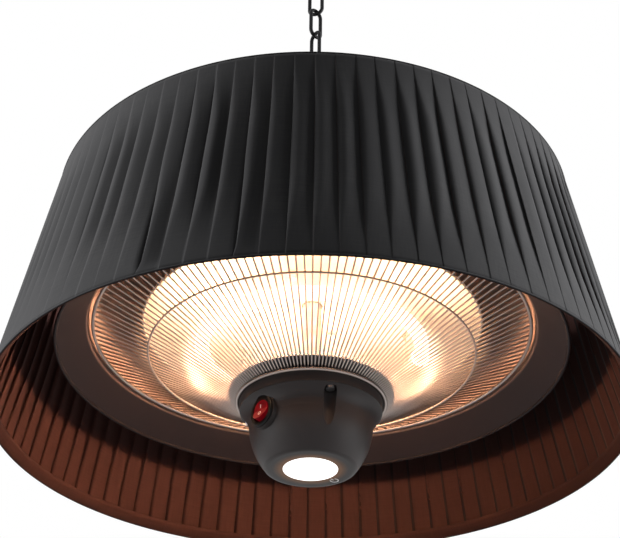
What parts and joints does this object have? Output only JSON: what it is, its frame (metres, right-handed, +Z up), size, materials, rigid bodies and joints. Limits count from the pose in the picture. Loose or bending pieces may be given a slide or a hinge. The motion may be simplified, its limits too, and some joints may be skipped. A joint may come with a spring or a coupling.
{
  "type": "ceiling patio heater",
  "caption": "Radiant ring heater under a spun hood with a wire guard and a lit control pod, inside a pleated cloth shade, hung on a chain from a ceiling hook.",
  "frame": {"origin": "middle of the ceiling plate's mounting face", "axes": "+Z up into the ceiling, -Y towards the front of the heater, where the switch is on the left"},
  "size_m": [0.5199, 0.52, 0.5934],
  "materials": {
    "black_steel": "black coated steel, slightly glossy",
    "hood_paint": "dark brown-grey heat-proof paint, satin",
    "zinc_steel": "zinc-plated steel",
    "guard_steel": "bright plated wire",
    "grey_sheet": "grey coated sheet, matt",
    "reflector_aluminium": "polished sheet",
    "quartz_glass": "clear quartz, lit from inside",
    "glowing_wire": "glowing heating wire",
    "white_ceramic": "unglazed",
    "shade_cloth": "charcoal cloth in pressed knife pleats",
    "binding_cloth": "charcoal cloth strip",
    "ring_wire": "black coated wire",
    "gland_plastic": "moulded",
    "terminal_plastic": "moulded",
    "wire_insulation": "silicone sleeve",
    "pod_plastic": "dark grey moulded, satin",
    "lens_plastic": "opal, lit from behind",
    "led_white": "phosphor",
    "circuit_board": "solder mask",
    "component_plastic": "moulded",
    "switch_plastic": "moulded",
    "brass_terminal": "bare",
    "rocker_red": "see-through red"
  },
  "bodies": {
    "ceiling_mount": {"ceiling_plate": "black_steel", "ceiling_hook": "black_steel"},
    "link_01": {"chain_link_01": "black_steel"},
    "link_02": {"chain_link_02": "black_steel"},
    "link_03": {"chain_link_03": "black_steel"},
    "link_04": {"chain_link_04": "black_steel"},
    "link_05": {"chain_link_05": "black_steel"},
    "link_06": {"chain_link_06": "black_steel"},
    "link_07": {"chain_link_07": "black_steel"},
    "link_08": {"chain_link_08": "black_steel"},
    "link_09": {"chain_link_09": "black_steel"},
    "link_10": {"chain_link_10": "black_steel"},
    "link_11": {"chain_link_11": "black_steel"},
    "heater": {"board_components": "component_plastic", "board_posts": "zinc_steel", "cable_gland": "gland_plastic", "centre_stem": "zinc_steel", "control_board": "circuit_board", "cover_nuts": "zinc_steel", "cover_screws": "zinc_steel", "eye_bolt": "black_steel", "eye_bolt_nut": "zinc_steel", "filament": "glowing_wire", "gland_nut": "gland_plastic", "guard_clips": "zinc_steel", "guard_inner_ring": "guard_steel", "guard_mid_ring": "guard_steel", "guard_outer_ring": "guard_steel", "guard_wires": "guard_steel", "hood": "hood_paint", "hub_shield": "grey_sheet", "led_board": "circuit_board", "led_chips": "led_white", "led_lens": "lens_plastic", "led_posts": "zinc_steel", "pod_bowl": "pod_plastic", "pod_screws": "zinc_steel", "pod_top_plate": "pod_plastic", "quartz_tube": "quartz_glass", "reflector": "reflector_aluminium", "reflector_posts": "zinc_steel", "reflector_screws": "zinc_steel", "shade_bottom_binding": "binding_cloth", "shade_bottom_ring": "ring_wire", "shade_fabric": "shade_cloth", "shade_top_binding": "binding_cloth", "shade_top_ring": "ring_wire", "shield_spacer": "zinc_steel", "spider_arms": "zinc_steel", "spider_hub": "zinc_steel", "stem_nuts": "zinc_steel", "supply_wires": "wire_insulation", "switch_body": "switch_plastic", "switch_terminals": "brass_terminal", "terminal_block": "terminal_plastic", "top_cover": "hood_paint", "tube_clips": "zinc_steel", "tube_end_caps": "white_ceramic", "tube_leads": "wire_insulation"},
    "rocker": {"rocker_button": "rocker_red"}
  },
  "joints": [
    {"name": "link_01_swing", "type": "hinge", "parent": "ceiling_mount", "child": "link_01", "pos_m": [0, 0, -0.04745], "axis": [0.9962, -0.0872, 0], "range_deg": [-30, 30]},
    {"name": "link_02_swing", "type": "hinge", "parent": "link_01", "child": "link_02", "pos_m": [0, 0, -0.07559], "axis": [0.0872, 0.9962, 0], "range_deg": [-30, 30]},
    {"name": "link_03_swing", "type": "hinge", "parent": "link_02", "child": "link_03", "pos_m": [0, 0, -0.10494], "axis": [-0.9397, 0.342, 0], "range_deg": [-30, 30]},
    {"name": "link_04_swing", "type": "hinge", "parent": "link_03", "child": "link_04", "pos_m": [0, 0, -0.13429], "axis": [-0.7071, -0.7071, 0], "range_deg": [-30, 30]},
    {"name": "link_05_swing", "type": "hinge", "parent": "link_04", "child": "link_05", "pos_m": [0, 0, -0.16365], "axis": [0.5736, -0.8192, 0], "range_deg": [-30, 30]},
    {"name": "link_06_swing", "type": "hinge", "parent": "link_05", "child": "link_06", "pos_m": [0, 0, -0.19299], "axis": [0.8192, 0.5736, 0], "range_deg": [-30, 30]},
    {"name": "link_07_swing", "type": "hinge", "parent": "link_06", "child": "link_07", "pos_m": [0, 0, -0.22234], "axis": [-0.5736, 0.8192, 0], "range_deg": [-30, 30]},
    {"name": "link_08_swing", "type": "hinge", "parent": "link_07", "child": "link_08", "pos_m": [0, 0, -0.2517], "axis": [-0.8192, -0.5736, 0], "range_deg": [-30, 30]},
    {"name": "link_09_swing", "type": "hinge", "parent": "link_08", "child": "link_09", "pos_m": [0, 0, -0.28104], "axis": [0.5736, -0.8192, 0], "range_deg": [-30, 30]},
    {"name": "link_10_swing", "type": "hinge", "parent": "link_09", "child": "link_10", "pos_m": [0, 0, -0.31039], "axis": [0.8192, 0.5736, 0], "range_deg": [-30, 30]},
    {"name": "link_11_swing", "type": "hinge", "parent": "link_10", "child": "link_11", "pos_m": [0, 0, -0.33975], "axis": [-0.5736, 0.8192, 0], "range_deg": [-30, 30]},
    {"name": "heater_swing", "type": "hinge", "parent": "link_11", "child": "heater", "pos_m": [0, 0, -0.3691], "axis": [-0.8192, -0.5736, 0], "range_deg": [-30, 30]},
    {"name": "rocker_tip", "type": "hinge", "parent": "heater", "child": "rocker", "pos_m": [-0.03723, -0.03352, -0.55919], "axis": [0.6691, -0.7431, 0], "range_deg": [0, 20]}
  ]
}
